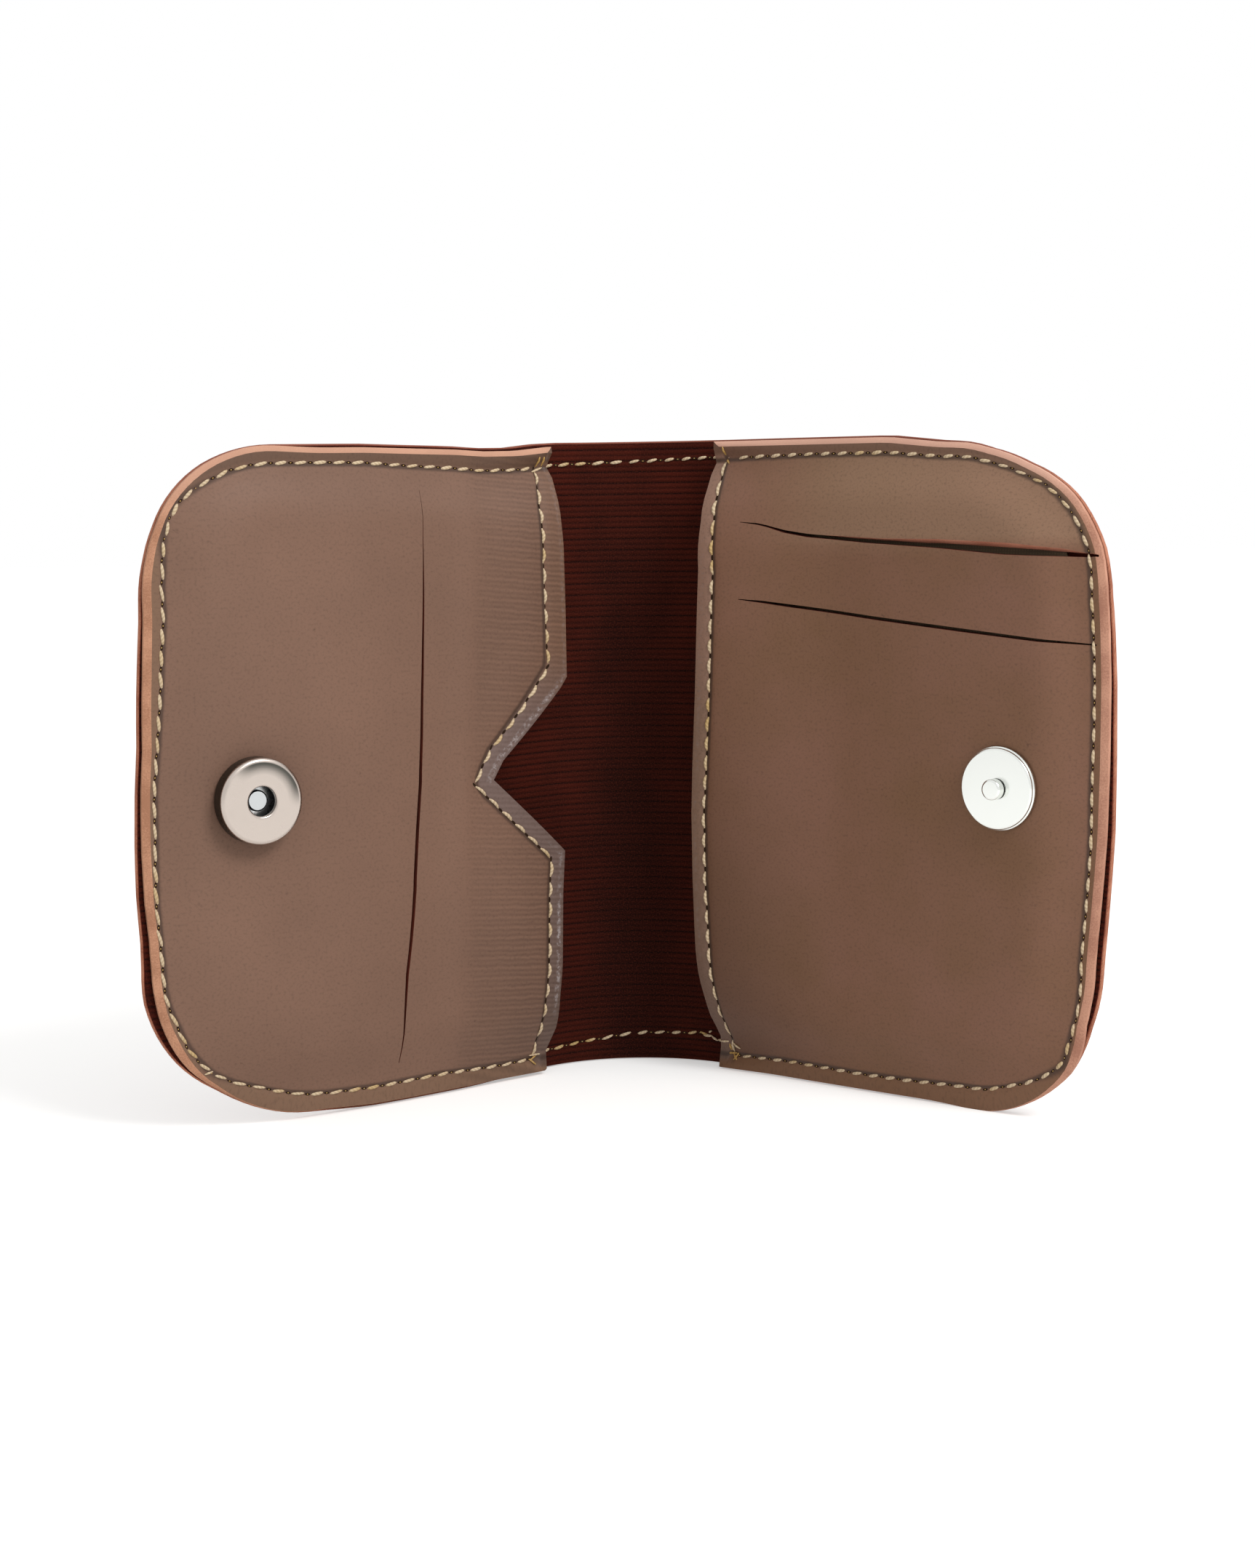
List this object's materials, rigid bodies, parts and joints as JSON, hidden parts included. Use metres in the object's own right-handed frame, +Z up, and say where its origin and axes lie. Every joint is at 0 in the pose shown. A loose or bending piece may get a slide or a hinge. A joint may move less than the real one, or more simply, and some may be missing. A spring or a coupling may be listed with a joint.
{
  "type": "bifold card wallet",
  "caption": "Small leather bifold wallet standing half open, with a magnetic snap, card slots, a thumb notch and a ribbed lining.",
  "frame": {"origin": "middle of the box round the half-open wallet, on the surface that it stands on", "axes": "+Z up along the spine, +X from the socket half to the stud half, +Y from the open side towards the spine"},
  "size_m": [0.1566, 0.0589, 0.11],
  "materials": {
    "cover_leather": "smooth, dark red, raw tan edge",
    "ribbed_lining": "fine level ribs, dark maroon",
    "taupe_leather": "smooth semi-matt, raw peach edge",
    "brown_leather": "smooth semi-matt, raw peach edge",
    "pocket_cloth": "thin plain cloth",
    "thread": "waxed cream sewing thread",
    "nickel": "satin nickel plate",
    "steel": "plain steel",
    "magnet": "sintered magnet"
  },
  "bodies": {
    "spine": {"spine_cover": "cover_leather", "spine_lining": "ribbed_lining", "spine_top_thread": "thread", "spine_bottom_thread": "thread"},
    "left_half": {"left_cover": "cover_leather", "left_lining": "ribbed_lining", "left_panel": "taupe_leather", "left_card_pocket": "pocket_cloth", "left_perimeter_thread": "thread", "left_pocket_edge_thread": "thread", "snap_socket_cap": "nickel", "snap_socket_base": "nickel", "snap_socket_magnet": "magnet", "snap_socket_washer": "steel"},
    "right_half": {"right_cover": "cover_leather", "right_lining": "ribbed_lining", "right_panel": "brown_leather", "right_upper_card_pocket": "pocket_cloth", "right_lower_card_pocket": "pocket_cloth", "right_perimeter_thread": "thread", "right_pocket_edge_thread": "thread", "snap_stud_plate": "nickel", "snap_stud": "nickel", "snap_stud_base": "steel", "snap_stud_washer": "steel"}
  },
  "joints": [
    {"name": "left_fold", "type": "hinge", "parent": "spine", "child": "left_half", "pos_m": [-0.00864, 0.02675, 0], "axis": [0, 0, 1], "range_deg": [-36, 56.2]},
    {"name": "right_fold", "type": "hinge", "parent": "spine", "child": "right_half", "pos_m": [0.01081, 0.02697, 0], "axis": [0, 0, -1], "range_deg": [-39, 48.2]}
  ]
}
